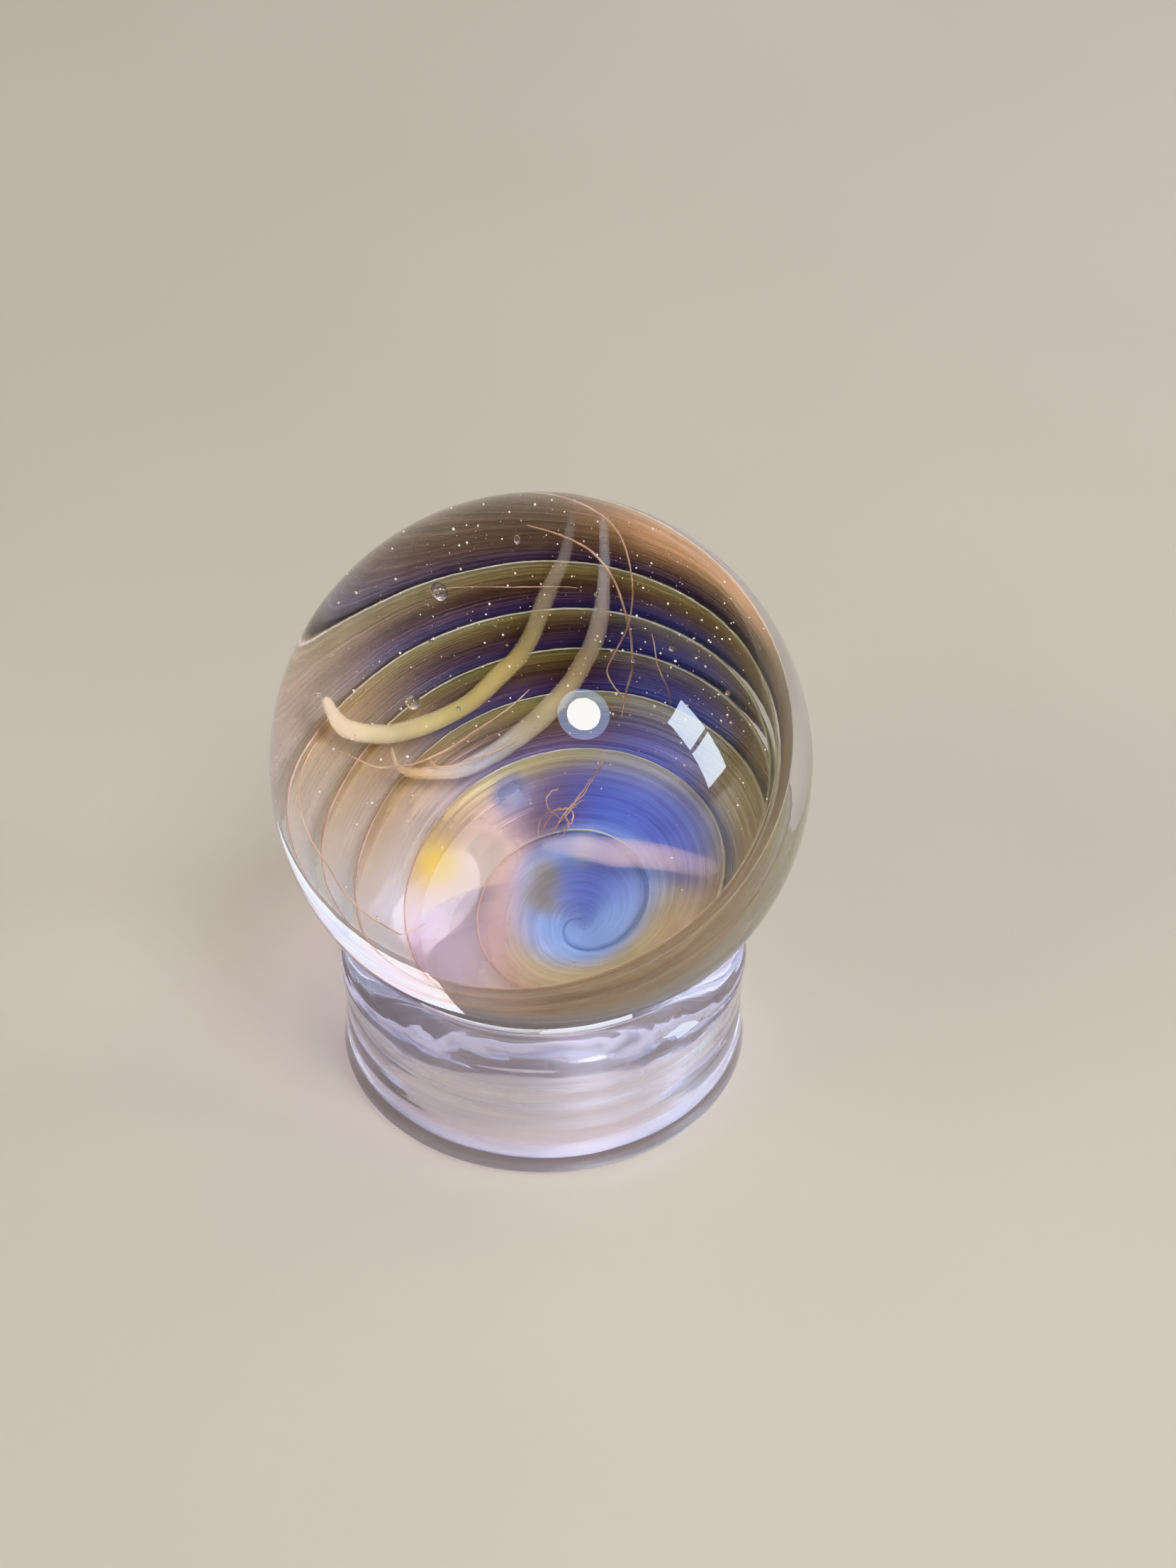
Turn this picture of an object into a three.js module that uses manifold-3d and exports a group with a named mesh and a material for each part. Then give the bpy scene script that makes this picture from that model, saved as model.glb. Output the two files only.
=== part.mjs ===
// A clear lampworked glass ball with a spiral vortex inside, resting loose on a short glass ring.
// Millimetres, +Z up. The origin is the centre of the ring's flat foot.
import * as THREE from "three";
import { mergeVertices } from "three/addons/utils/BufferGeometryUtils.js";
import Module from "manifold-3d";

// ---- Driving dimensions ----

const BALL_RADIUS = 18;
const RING_RADIUS = 14.1; // outside, at the lips
const RING_WALL = 4.1;
const RING_HEIGHT = 10.6;
const RING_WAIST = 0.25; // how far the side draws in between the lips
const FOOT_ROUNDING = 0.9;
const SEAT_GAP = 0.2; // between the ball and the lip that it rests on
const GLASS_GAP = 0.3; // between neighbouring pieces inside the ball

// The vortex leans towards the front left.
const VORTEX_TILT = THREE.MathUtils.degToRad(20.8);
const VORTEX_AZIMUTH = THREE.MathUtils.degToRad(-29.4);

// The bowl that the vortex is wound on: its radius and its height from the ball's centre at each
// full turn of the coil, from the closed bottom to past the ball's surface.
const TURN_OUTLINE = [
  [0, -12.4],
  [2.7, -12.2],
  [5.2, -11.6],
  [6.8, -10.4],
  [7.9, -8.6],
  [9.1, -6.5],
  [10.9, -4.3],
  [13.8, -2.1],
  [18.3, -0.1],
  [24.5, 1.8],
];
const LAST_TURN = TURN_OUTLINE.length - 1;
const FIRST_ANGLE = THREE.MathUtils.degToRad(91); // where the coil's edge crosses each full turn

// The turns' centres bow away from the vortex's axis, most at the mouth.
const BOW_START = new THREE.Vector2(-1.9, 1.75);
const BOW_PER_TURN = new THREE.Vector2(0.09, -0.18);
const BOW_TURN = 2.5;

const COIL_THICKNESS = 0.5;
const COIL_BAND = 0.85; // width of the band, as a part of one turn
const COIL_FIRST_TURN = 1.2;
const COIL_LAST_TURN = 7.1;
const COIL_STEPS_PER_TURN = 20;

const RIBBON_THICKNESS = 0.4;
const THREAD_THICKNESS = 0.4;
const WALL_LEVEL = 0.78; // how far in front of the bowl a ribbon or a thread's end lies
const THREAD_LEVEL = 1.6;
const ARCH_LEVEL = 2.4; // the arch passes over the other threads

const BALL_SEGMENTS = 40;
const RING_SEGMENTS = 44;
const SWEEP_STEPS = 3; // steps between two points of a ribbon or thread

const LIP_RADIUS = RING_WALL / 2;
const LIP_CENTRE_RADIUS = RING_RADIUS - LIP_RADIUS;
const LIP_CENTRE_HEIGHT = RING_HEIGHT - LIP_RADIUS;
const CAVITY_HALF_WIDTH = COIL_THICKNESS / 2 + GLASS_GAP;
const SEAT_REACH = BALL_RADIUS + SEAT_GAP + LIP_RADIUS;
const BALL_HEIGHT =
  LIP_CENTRE_HEIGHT + Math.sqrt(SEAT_REACH ** 2 - LIP_CENTRE_RADIUS ** 2);

// ---- Colours ----

const CLEAR = { color: 0xe9e6ea, roughness: 0.04, metalness: 0 };
const RING_GLASS = { color: 0xe4dfea, roughness: 0.05, metalness: 0 };
const FUMED = { color: 0x4a5fb0, roughness: 0.12, metalness: 0.1 };
const AMBER = { color: 0xc9a23c, roughness: 0.15, metalness: 0 };
const ROSE = { color: 0xd9a08c, roughness: 0.15, metalness: 0 };
const COPPER = { color: 0xa35a34, roughness: 0.2, metalness: 0.2 };

function makeNode(name, geometry, finish) {
  const mesh = new THREE.Mesh(geometry, new THREE.MeshStandardMaterial(finish));
  mesh.name = name;
  return mesh;
}

// ---- Booleans ----

const wasm = await Module();
wasm.setup();

function toSolid(geometry) {
  const bare = geometry.clone();
  bare.deleteAttribute("normal");
  bare.deleteAttribute("uv");
  const merged = mergeVertices(bare);
  const mesh = new wasm.Mesh({
    numProp: 3,
    vertProperties: new Float32Array(merged.attributes.position.array),
    triVerts: new Uint32Array(merged.index.array),
  });
  return new wasm.Manifold(mesh);
}

// The largest body of a solid: cuts that meet can leave a loose crumb beside it.
function largestBody(solid) {
  return solid.decompose().reduce((a, b) => (a.volume() > b.volume() ? a : b));
}

function toGeometry(solid) {
  const mesh = solid.getMesh();
  const geometry = new THREE.BufferGeometry();
  geometry.setAttribute("position", new THREE.BufferAttribute(mesh.vertProperties, 3));
  geometry.setIndex(new THREE.BufferAttribute(mesh.triVerts, 1));
  geometry.computeVertexNormals();
  return geometry;
}

// ---- The bowl ----

const outline = new THREE.SplineCurve(
  TURN_OUTLINE.map(([radius, height]) => new THREE.Vector2(radius, height)),
);

// The bowl's outline at a turn, moved by inset towards the inside of the bowl.
function outlineAt(turn, inset) {
  const point = outline.getPoint(turn / LAST_TURN);
  const tangent = outline.getTangent(turn / LAST_TURN);
  const radius = turn === 0 ? 0 : point.x - tangent.y * inset;
  return new THREE.Vector2(radius, point.y + tangent.x * inset);
}

function turnCentre(turn) {
  const bow = BOW_PER_TURN.clone().multiplyScalar((turn - BOW_TURN) ** 2);
  return bow.add(BOW_START);
}

function wallPoint(turn, angle, inset) {
  const { x: radius, y: height } = outlineAt(turn, inset);
  const centre = turnCentre(turn);
  return new THREE.Vector3(
    centre.x + radius * Math.cos(angle),
    centre.y + radius * Math.sin(angle),
    height,
  );
}

function wallNormal(turn, angle) {
  return wallPoint(turn, angle, 1).sub(wallPoint(turn, angle, 0)).normalize();
}

// Everything inside the bowl's mouth, as a solid that reaches above the ball.
function bowlPlug(inset) {
  const turns = [];
  for (let turn = 0; turn <= LAST_TURN; turn += 0.5) turns.push(turn);
  const profile = turns.map((turn) => outlineAt(turn, inset));
  const rim = profile[profile.length - 1];
  const top = BALL_RADIUS + 2;
  profile.push(new THREE.Vector2(rim.x, top), new THREE.Vector2(0, top));
  turns.push(LAST_TURN, LAST_TURN);
  const geometry = new THREE.LatheGeometry(profile, BALL_SEGMENTS);
  geometry.rotateX(Math.PI / 2);
  const position = geometry.attributes.position;
  for (let i = 0; i < position.count; i++) {
    const centre = turnCentre(turns[i % profile.length]);
    position.setX(i, position.getX(i) + centre.x);
    position.setY(i, position.getY(i) + centre.y);
  }
  return toSolid(geometry);
}

// ---- Strips on the bowl: the coil, the ribbons and the threads ----

// Bends a box, as long as its stations, so that each layer of it lies on its station.
function bendBox(stations, placeCorner) {
  const steps = stations.length - 1;
  const geometry = new THREE.BoxGeometry(1, 1, steps, 1, 1, steps);
  const position = geometry.attributes.position;
  for (let i = 0; i < position.count; i++) {
    const station = stations[Math.round(position.getZ(i) + steps / 2)];
    const corner = placeCorner(station, position.getX(i), position.getY(i));
    position.setXYZ(i, corner.x, corner.y, corner.z);
  }
  geometry.computeVertexNormals();
  return geometry;
}

function vortexCoil() {
  const steps = Math.round((COIL_LAST_TURN - COIL_FIRST_TURN) * COIL_STEPS_PER_TURN);
  const stations = [];
  for (let i = 0; i <= steps; i++)
    stations.push(THREE.MathUtils.lerp(COIL_FIRST_TURN, COIL_LAST_TURN, i / steps));
  return bendBox(stations, (turn, across, up) => {
    const angle = FIRST_ANGLE + 2 * Math.PI * (turn - 1);
    const bandTurn = turn - COIL_BAND * (0.5 + across);
    return wallPoint(bandTurn, angle, up * COIL_THICKNESS);
  });
}

// The points of a strip are [angle in degrees, turn, distance in front of the bowl].
function strip(points, width, thickness, margin = 0) {
  const path = new THREE.CatmullRomCurve3(
    points.map(([angle, turn, level]) => new THREE.Vector3(angle, turn, level)),
    false,
    "catmullrom",
  );
  const place = (p) => wallPoint(p.y, THREE.MathUtils.degToRad(p.x), p.z);
  const steps = (points.length - 1) * SWEEP_STEPS;
  const stations = path.getPoints(steps).map((p, i) => {
    const before = place(path.getPoint(Math.max(i - 0.5, 0) / steps));
    const after = place(path.getPoint(Math.min(i + 0.5, steps) / steps));
    const along = after.sub(before).normalize();
    const normal = wallNormal(p.y, THREE.MathUtils.degToRad(p.x));
    const side = along.clone().cross(normal).normalize();
    const endways = margin * (i === 0 ? -1 : i === steps ? 1 : 0);
    return {
      centre: place(p).addScaledVector(along, endways),
      side,
      up: side.clone().cross(along),
    };
  });
  return bendBox(stations, (station, across, up) =>
    station.centre
      .clone()
      .addScaledVector(station.side, -across * (width + 2 * margin))
      .addScaledVector(station.up, up * (thickness + 2 * margin)),
  );
}

function onWall(points) {
  return points.map(([angle, turn]) => [angle, turn, WALL_LEVEL]);
}

// A thread starts on the bowl, bridges in front of it and ends on it or at endLevel.
function bridging(points, level, endLevel = WALL_LEVEL) {
  const levels = points.map(() => level);
  levels[0] = WALL_LEVEL;
  levels[points.length - 1] = endLevel;
  return points.map(([angle, turn], i) => [angle, turn, levels[i]]);
}

const STRIPS = [
  {
    name: "amber_ribbon_long",
    finish: AMBER,
    width: 0.9,
    thickness: RIBBON_THICKNESS,
    points: onWall([
      [113, 6.3],
      [117, 5.6],
      [123, 4.8],
      [131, 4.2],
      [145, 3.75],
      [158, 3.85],
      [168, 4.3],
      [174, 5.1],
      [170, 5.75],
    ]),
  },
  {
    name: "amber_ribbon_short",
    finish: AMBER,
    width: 1.1,
    thickness: RIBBON_THICKNESS,
    points: onWall([
      [104, 6.6],
      [104, 5.7],
      [108, 4.8],
      [116, 3.9],
      [125, 3.3],
      [136, 2.95],
    ]),
  },
  {
    name: "rose_ribbon",
    finish: ROSE,
    width: 0.7,
    thickness: RIBBON_THICKNESS,
    points: onWall([
      [131, 1.45],
      [103, 1.35],
      [72, 1.4],
      [46, 1.6],
      [28, 2],
      [20, 2.4],
    ]),
  },
  {
    name: "copper_thread_arch",
    points: bridging(
      [
        [138, 7.1],
        [125, 7.25],
        [112, 7.25],
        [101, 6.95],
        [95.5, 6.1],
        [96.5, 5.2],
        [103, 4.1],
        [98, 3.5],
      ],
      ARCH_LEVEL,
      ARCH_LEVEL,
    ),
  },
  {
    name: "copper_thread_drop",
    points: bridging(
      [
        [118, 6.75],
        [106, 6.45],
        [99, 5.85],
        [95.5, 5],
        [96, 4.2],
        [100, 3.4],
        [102, 2.7],
      ],
      THREAD_LEVEL,
    ),
  },
  {
    name: "copper_thread_faint",
    points: bridging(
      [
        [139, 6.15],
        [130, 6.05],
        [120, 5.9],
        [110, 5.75],
      ],
      THREAD_LEVEL,
      THREAD_LEVEL,
    ),
  },
  {
    name: "copper_thread_side",
    points: bridging(
      [
        [92, 5.05],
        [88, 4.7],
        [84.5, 4.1],
        [86, 3.25],
      ],
      THREAD_LEVEL,
    ),
  },
  {
    name: "copper_thread_hook",
    points: bridging(
      [
        [180, 5],
        [180, 4.7],
        [179, 4.2],
        [172, 3.7],
        [160, 3.3],
        [147, 3.2],
        [137, 3.25],
        [129, 3.5],
      ],
      THREAD_LEVEL,
      THREAD_LEVEL,
    ),
  },
  {
    name: "copper_thread_inner_hook",
    points: bridging(
      [
        [165, 3.3],
        [166, 3],
        [158, 2.7],
        [146, 2.5],
        [135, 2.5],
      ],
      THREAD_LEVEL,
    ),
  },
  {
    name: "copper_thread_rim",
    points: bridging(
      [
        [180, 5.45],
        [193, 5.55],
        [206, 5.45],
        [217, 5.15],
        [229, 5.1],
        [236, 4.7],
        [234, 3.5],
        [225, 2.3],
      ],
      THREAD_LEVEL,
    ),
  },
  {
    name: "copper_tuft",
    points: bridging(
      [
        [120, 2.3],
        [121, 1.95],
        [127, 1.75],
        [140, 1.65],
      ],
      THREAD_LEVEL,
    ),
  },
].map((piece) => ({
  finish: COPPER,
  width: THREAD_THICKNESS,
  thickness: THREAD_THICKNESS,
  ...piece,
}));

// ---- The two clear halves of the ball ----

function clearHalves() {
  const ball = toSolid(new THREE.SphereGeometry(BALL_RADIUS, BALL_SEGMENTS, BALL_SEGMENTS / 2));
  let crown = ball.intersect(bowlPlug(CAVITY_HALF_WIDTH));
  for (const { points, width, thickness } of STRIPS)
    crown = crown.subtract(toSolid(strip(points, width, thickness, GLASS_GAP)));
  const backing = ball.subtract(bowlPlug(-CAVITY_HALF_WIDTH));
  return { crown: toGeometry(largestBody(crown)), backing: toGeometry(backing) };
}

// ---- The ring ----

function ringStand() {
  const inner = RING_RADIUS - RING_WALL;
  const profile = new THREE.Path();
  profile.moveTo(inner + FOOT_ROUNDING, 0);
  profile.lineTo(RING_RADIUS - FOOT_ROUNDING, 0);
  profile.absarc(
    RING_RADIUS - FOOT_ROUNDING,
    FOOT_ROUNDING,
    FOOT_ROUNDING,
    -Math.PI / 2,
    0,
    false,
  );
  profile.quadraticCurveTo(
    RING_RADIUS - 2 * RING_WAIST,
    RING_HEIGHT / 2,
    RING_RADIUS,
    LIP_CENTRE_HEIGHT,
  );
  profile.absarc(LIP_CENTRE_RADIUS, LIP_CENTRE_HEIGHT, LIP_RADIUS, 0, Math.PI, false);
  profile.lineTo(inner, FOOT_ROUNDING);
  profile.absarc(
    inner + FOOT_ROUNDING,
    FOOT_ROUNDING,
    FOOT_ROUNDING,
    Math.PI,
    1.5 * Math.PI,
    false,
  );
  const points = profile.getPoints(3);
  const geometry = new THREE.LatheGeometry(points, RING_SEGMENTS);
  geometry.rotateX(Math.PI / 2);
  return geometry;
}

// ---- Assembly ----

const { crown, backing } = clearHalves();
const ball = new THREE.Group();
ball.rotation.x = VORTEX_TILT;
ball.add(makeNode("clear_crown", crown, CLEAR));
ball.add(makeNode("clear_backing", backing, CLEAR));
ball.add(makeNode("vortex_coil", vortexCoil(), FUMED));
for (const { name, points, width, thickness, finish } of STRIPS)
  ball.add(makeNode(name, strip(points, width, thickness), finish));

const turned = new THREE.Group();
turned.rotation.z = VORTEX_AZIMUTH;
turned.position.z = BALL_HEIGHT;
turned.add(ball);

const paperweight = new THREE.Group();
paperweight.add(makeNode("ring_stand", ringStand(), RING_GLASS));
paperweight.add(turned);

export default paperweight;
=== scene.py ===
import math

import bpy
import numpy as np
from mathutils import Matrix, Vector, noise


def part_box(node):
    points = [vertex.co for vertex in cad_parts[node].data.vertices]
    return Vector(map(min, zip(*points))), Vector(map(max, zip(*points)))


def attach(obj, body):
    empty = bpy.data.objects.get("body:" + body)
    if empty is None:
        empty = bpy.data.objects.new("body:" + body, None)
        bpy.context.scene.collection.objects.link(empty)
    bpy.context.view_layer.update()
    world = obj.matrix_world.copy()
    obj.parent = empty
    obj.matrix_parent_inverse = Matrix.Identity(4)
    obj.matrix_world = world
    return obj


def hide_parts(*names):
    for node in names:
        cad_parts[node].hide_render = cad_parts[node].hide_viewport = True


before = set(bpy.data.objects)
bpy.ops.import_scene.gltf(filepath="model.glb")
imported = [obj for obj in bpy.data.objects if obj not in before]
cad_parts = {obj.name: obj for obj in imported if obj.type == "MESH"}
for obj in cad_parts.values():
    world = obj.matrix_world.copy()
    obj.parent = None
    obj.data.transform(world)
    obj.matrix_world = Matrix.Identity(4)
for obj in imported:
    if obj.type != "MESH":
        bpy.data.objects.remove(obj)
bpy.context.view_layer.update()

# A clear lampworked glass ball with a fumed spiral vortex inside, resting on a clear glass ring.
# The pieces inside the ball are laid out in millimetres on the vortex's own axes, with the ball's
# centre as their origin, and placed in the row frame by place().

MM = 0.001

# ---- Places and sizes from the frame ----

crown_low, crown_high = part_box("clear_crown")
backing_low, backing_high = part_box("clear_backing")
ring_low, ring_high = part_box("ring_stand")
ball_low = Vector(map(min, crown_low, backing_low))
ball_high = Vector(map(max, crown_high, backing_high))
BALL_RADIUS = (ball_high.x - ball_low.x) / 2 / MM
BALL_CENTRE = Vector((0, 0, ball_high.z - BALL_RADIUS * MM))
RING_RADIUS = (ring_high.x - ring_low.x) / 2 / MM
RING_HEIGHT = (ring_high.z - ring_low.z) / MM

# ---- The vortex's layout, the same as the CAD's ----

VORTEX_TILT = math.radians(20.8)
VORTEX_AZIMUTH = math.radians(-29.4)
TURN_OUTLINE = np.array([
    [0, -12.4],
    [2.7, -12.2],
    [5.2, -11.6],
    [6.8, -10.4],
    [7.9, -8.6],
    [9.1, -6.5],
    [10.9, -4.3],
    [13.8, -2.1],
    [18.3, -0.1],
    [24.5, 1.8],
])
FIRST_ANGLE = math.radians(91)
BOW_START = np.array([-1.9, 1.75])
BOW_PER_TURN = np.array([0.09, -0.18])
BOW_TURN = 2.5

TO_ROW = Matrix.Rotation(VORTEX_AZIMUTH, 3, "Z") @ Matrix.Rotation(VORTEX_TILT, 3, "X")


def place(points):
    """Points in millimetres on the vortex's axes, as points in metres in the row frame."""
    turned = np.asarray(points, float) @ np.array(TO_ROW).T
    return turned * MM + np.array(BALL_CENTRE)


def catmull_rom(points, at):
    """Points of the curve through all the given points, at places counted in points."""
    points = np.asarray(points, float)
    at = np.clip(np.asarray(at, float), 0, len(points) - 1)
    before = np.minimum(at.astype(int), len(points) - 2)
    t = (at - before)[..., None]
    last = len(points) - 1
    p0 = points[np.maximum(before - 1, 0)]
    p1 = points[before]
    p2 = points[before + 1]
    p3 = points[np.minimum(before + 2, last)]
    v0, v1 = (p2 - p0) / 2, (p3 - p1) / 2
    return (
        (2 * p1 - 2 * p2 + v0 + v1) * t**3
        + (-3 * p1 + 3 * p2 - 2 * v0 - v1) * t**2
        + v0 * t
        + p1
    )


def wall(turn, angle, inset):
    """Points on the vortex's bowl, moved by inset towards its mouth. The angle is in radians."""
    turn = np.maximum(np.asarray(turn, float), 0)
    step = 0.02
    point = catmull_rom(TURN_OUTLINE, turn)
    tangent = catmull_rom(TURN_OUTLINE, turn + step) - catmull_rom(TURN_OUTLINE, turn - step)
    tangent /= np.maximum(np.linalg.norm(tangent, axis=-1, keepdims=True), 1e-9)
    inset = np.asarray(inset, float)
    radius = np.maximum(point[..., 0] - tangent[..., 1] * inset, 0)
    height = point[..., 1] + tangent[..., 0] * inset
    centre = BOW_START + BOW_PER_TURN * ((turn - BOW_TURN) ** 2)[..., None]
    return np.stack([
        centre[..., 0] + radius * np.cos(angle),
        centre[..., 1] + radius * np.sin(angle),
        height + 0 * radius,
    ], axis=-1)


# ---- Mesh building ----

def make_object(name, points, faces, smooth=True, uv=None):
    """A mesh object of points in the row frame. uv holds one pair for each point."""
    mesh = bpy.data.meshes.new(name)
    mesh.from_pydata([tuple(p) for p in points], [], [tuple(map(int, f)) for f in faces])
    mesh.validate()
    if uv is not None:
        corners = np.empty(len(mesh.loops), np.int32)
        mesh.loops.foreach_get("vertex_index", corners)
        layer = mesh.uv_layers.new(name="turns")
        layer.data.foreach_set("uv", np.asarray(uv, np.float32)[corners].ravel())
    if smooth:
        mesh.shade_smooth()
    made = bpy.data.objects.new(name, mesh)
    bpy.context.scene.collection.objects.link(made)
    return made


def grid_faces(rows, columns, close_columns=False, close_rows=False, start=0):
    """The quads of a grid of points, row after row."""
    faces = []
    for i in range(rows if close_rows else rows - 1):
        for j in range(columns if close_columns else columns - 1):
            a, b = i * columns, (i + 1) % rows * columns
            k = (j + 1) % columns
            faces.append([start + a + j, start + a + k, start + b + k, start + b + j])
    return faces


def sphere_points(segments, rings):
    """Points of a unit sphere with one point at each pole, and its faces."""
    points = [(0, 0, -1)]
    for i in range(1, rings):
        height = -math.cos(math.pi * i / rings)
        radius = math.sin(math.pi * i / rings)
        for j in range(segments):
            angle = 2 * math.pi * j / segments
            points.append((radius * math.cos(angle), radius * math.sin(angle), height))
    points.append((0, 0, 1))
    faces = grid_faces(rings - 1, segments, close_columns=True, start=1)
    last = len(points) - 1
    top = 1 + (rings - 2) * segments
    for j in range(segments):
        k = (j + 1) % segments
        faces.append([0, 1 + k, 1 + j])
        faces.append([top + j, top + k, last])
    return np.array(points), faces


# ---- Materials ----

def node_material(name):
    """A material with an empty node tree, and a function that adds a node with its settings."""
    material = bpy.data.materials.new(name)
    material.use_nodes = True
    tree = material.node_tree
    tree.nodes.clear()

    def add(kind, inputs=None, **settings):
        node = tree.nodes.new("ShaderNode" + kind)
        for key, value in settings.items():
            setattr(node, key, value)
        for key, value in (inputs or {}).items():
            if isinstance(value, bpy.types.NodeSocket):
                tree.links.new(value, node.inputs[key])
            else:
                node.inputs[key].default_value = value
        return node

    return material, add


def ramp(add, factor, stops):
    """A colour ramp of (place, (r, g, b)) stops, fed by factor. The result is its colour."""
    node = add("ValToRGB", {"Fac": factor})
    band = node.color_ramp
    while len(band.elements) < len(stops):
        band.elements.new(1)
    for element, (at, colour) in zip(band.elements, stops):
        element.position = at
        element.color = (*colour, 1)
    return node.outputs["Color"]


def maths(add, operation, a, b, clamp=False):
    return add("Math", {0: a, 1: b}, operation=operation, use_clamp=clamp).outputs[0]


def mix_colours(add, factor, a, b, blend_type="MIX"):
    node = add("Mix", {0: factor, 6: a, 7: b}, data_type="RGBA", blend_type=blend_type)
    return node.outputs[2]


def noise_at(add, vector, scale, detail, roughness=0.5):
    inputs = {"Vector": vector, "Scale": scale, "Detail": detail, "Roughness": roughness}
    return add("TexNoise", inputs).outputs["Fac"]


def through_lamps(add, shader, tint):
    """Lets light from the lamps reach what is inside or behind the glass, dimmed by tint."""
    clear = add("BsdfTransparent", {"Color": (*tint, 1)})
    path = add("LightPath")
    mixed = add("MixShader", {0: path.outputs["Is Shadow Ray"], 1: shader, 2: clear.outputs[0]})
    return mixed.outputs[0]


GLASS_IOR = 1.47
# The painted pale foot: how high it reaches and how strongly it shows.
PAINTED_FOOT_LIGHT_HEIGHT = 0.0014
PAINTED_FOOT_LIGHT_STRENGTH = 0.4
MARKS_STRENGTH = 0.36
MARKS_STRETCH = (0.45, 0.45, 7)


def foot_and_marks(add, where, marks, normal, surface):
    """The ring's surface with a painted pale foot and its fine level tool marks. The pale foot is a
    pale lilac diffuse band low on the ring that stands in for room light reflected inside the
    foot. The marks' gloss is stretched upright, so that a lamp's reflection in them is a soft
    column."""
    height_above = add("SeparateXYZ", {0: where}).outputs[2]
    near_foot = add("MapRange", {
        0: height_above, 1: PAINTED_FOOT_LIGHT_HEIGHT, 2: 0.0, 3: 0.0, 4: PAINTED_FOOT_LIGHT_STRENGTH,
    }).outputs[0]
    # Painted light: a pale lilac diffuse band near the foot, which stands in for bright room light
    # reflected inside the foot.
    painted_foot_light = add("BsdfPrincipled", {"Base Color": (0.62, 0.64, 0.80, 1), "Roughness": 0.6})
    surface = add("MixShader", {0: near_foot, 1: surface, 2: painted_foot_light.outputs[0]}).outputs[0]
    ridges = add("MapRange", {0: marks, 1: 0.44, 2: 0.70, 3: 0.02, 4: MARKS_STRENGTH}).outputs[0]
    brushed = add("BsdfPrincipled", {
        "Base Color": (0.86, 0.88, 1.0, 1),
        "Metallic": 1.0,
        "Roughness": 0.50,
        "Anisotropic": 0.9,
        "Anisotropic Rotation": 0.25,
        "Normal": normal,
    })
    return add("MixShader", {0: ridges, 1: surface, 2: brushed.outputs[0]}).outputs[0]


def clear_glass(name, tint, bump_scale, bump_height, shadow_tint, ripple=0.0):
    """Clear glass whose surface is a little uneven, as flame-polished glass is. Ripple is the
    share of the height in level marks, as a tool leaves on turning glass."""
    material, add = node_material(name)
    where = add("TexCoord").outputs["Object"]
    slow = noise_at(add, where, bump_scale, 1.5)
    fine = noise_at(add, where, bump_scale * 9, 3.0)
    height = maths(add, "ADD", slow, maths(add, "MULTIPLY", fine, 0.03))
    if ripple:
        level = add("VectorMath", {0: where, 1: MARKS_STRETCH}, operation="MULTIPLY").outputs[0]
        marks = noise_at(add, level, bump_scale, 2.0)
        height = maths(add, "ADD", height, maths(add, "MULTIPLY", marks, ripple))
    bump = add("Bump", {"Height": height, "Strength": 1.0, "Distance": bump_height})
    streaks = noise_at(add, where, bump_scale * 2.5, 2.0)
    colour = ramp(add, streaks, [(0.3, tint), (0.7, tuple(min(1, c * 1.03) for c in tint))])
    rough = maths(add, "MULTIPLY", maths(add, "POWER", fine, 6.0), 0.05)
    glass = add("BsdfPrincipled", {
        "Base Color": colour,
        "Roughness": rough,
        "IOR": GLASS_IOR,
        "Transmission Weight": 1.0,
        "Normal": bump.outputs["Normal"],
    })
    surface = glass.outputs[0]
    if ripple:
        surface = foot_and_marks(add, where, marks, bump.outputs["Normal"], surface)
    add("OutputMaterial", {"Surface": through_lamps(add, surface, shadow_tint)})
    return material


# ---- The vortex's colours ----

OLIVE = (0.32, 0.27, 0.11)
BROWN = (0.13, 0.088, 0.058)
PURPLE = (0.14, 0.095, 0.145)
COBALT = (0.11, 0.155, 0.52)
SKY = (0.30, 0.43, 0.75)
TAN = (0.60, 0.45, 0.28)
LILAC = (0.70, 0.64, 0.85)
PINK = (0.85, 0.62, 0.62)
# Painted warm glow: the colour of the orange light near the rim at the upper right.
PAINTED_WARM_GLOW = (1.0, 0.56, 0.27)


def near_angle(angle, middle, spread):
    """1 at the middle angle and falling off round it, in degrees."""
    away = (angle - middle + 180) % 360 - 180
    return np.exp(-np.abs(away / spread) ** 3)


def near_turn(turn, middle, spread):
    return np.exp(-(((turn - middle) / spread) ** 2))


def near_spot(angle, turn, middle, at_turn, spread):
    """1 at one place near the bowl's bottom, falling off to every side of it."""
    across = turn * np.cos(np.radians(angle)) - at_turn * math.cos(math.radians(middle))
    along = turn * np.sin(np.radians(angle)) - at_turn * math.sin(math.radians(middle))
    return np.exp(-(across**2 + along**2) / spread**2)


def above(value, edge, spread):
    """0 well below the edge, rising to 1 well above it."""
    return 1 / (1 + np.exp(-(value - edge) / spread * 2))


def across_band(phase, stops):
    """A colour for each place across the band, from stops of (place, colour, density)."""
    places = [at for at, colour, density in stops]
    columns = [[*colour, density] for at, colour, density in stops]
    return np.stack([
        np.interp(phase, places, [column[i] for column in columns]) for i in range(4)
    ], axis=-1)


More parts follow.
